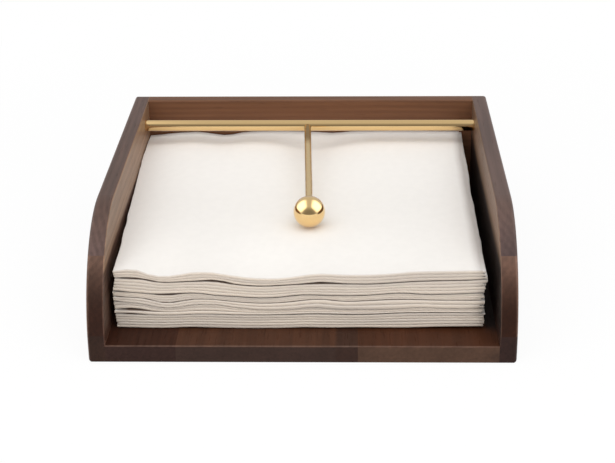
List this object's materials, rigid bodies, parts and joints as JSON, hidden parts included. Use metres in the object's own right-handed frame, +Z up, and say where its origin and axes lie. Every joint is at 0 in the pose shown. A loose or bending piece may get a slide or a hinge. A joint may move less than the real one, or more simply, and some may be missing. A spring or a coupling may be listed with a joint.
{
  "type": "napkin holder",
  "caption": "Square open-fronted walnut tray for folded napkins, with a brass T-bar whose ball-ended arm swings up and rests on the stack.",
  "frame": {"origin": "on the surface that the tray stands on, under the middle of the tray", "axes": "+Z up, +Y towards the closed back of the tray, +X to the right seen from the open front"},
  "size_m": [0.19, 0.19, 0.059],
  "materials": {
    "walnut": "satin",
    "dowel": "matte",
    "brass": "polished",
    "napkin": "matte"
  },
  "bodies": {
    "tray": {"left_side_lower_stave": "walnut", "left_side_middle_stave": "walnut", "left_side_upper_stave": "walnut", "right_side_lower_stave": "walnut", "right_side_middle_stave": "walnut", "right_side_upper_stave": "walnut", "back_lower_stave": "walnut", "back_upper_stave": "walnut", "base_left_stave": "walnut", "base_middle_stave": "walnut", "base_right_stave": "walnut", "dowels_base_left": "dowel", "dowels_base_right": "dowel", "dowels_back_left": "dowel", "dowels_back_right": "dowel", "dowels_base_back": "dowel"},
    "t_bar": {"cross_rod": "brass", "arm": "brass", "ball": "brass"},
    "napkins": {"napkin_bundle_1": "napkin", "napkin_bundle_2": "napkin", "napkin_bundle_3": "napkin", "napkin_bundle_4": "napkin", "napkin_bundle_5": "napkin", "napkin_bundle_6": "napkin", "top_napkin": "napkin"}
  },
  "joints": [
    {"name": "arm_hinge", "type": "hinge", "parent": "tray", "child": "t_bar", "pos_m": [0, 0.0712, 0.0506], "axis": [-1, 0, 0], "range_deg": [0, 150]},
    {"name": "napkin_slide", "type": "slide", "parent": "tray", "child": "napkins", "axis": [0, -1, 0], "range_m": [0, 0.095]}
  ]
}
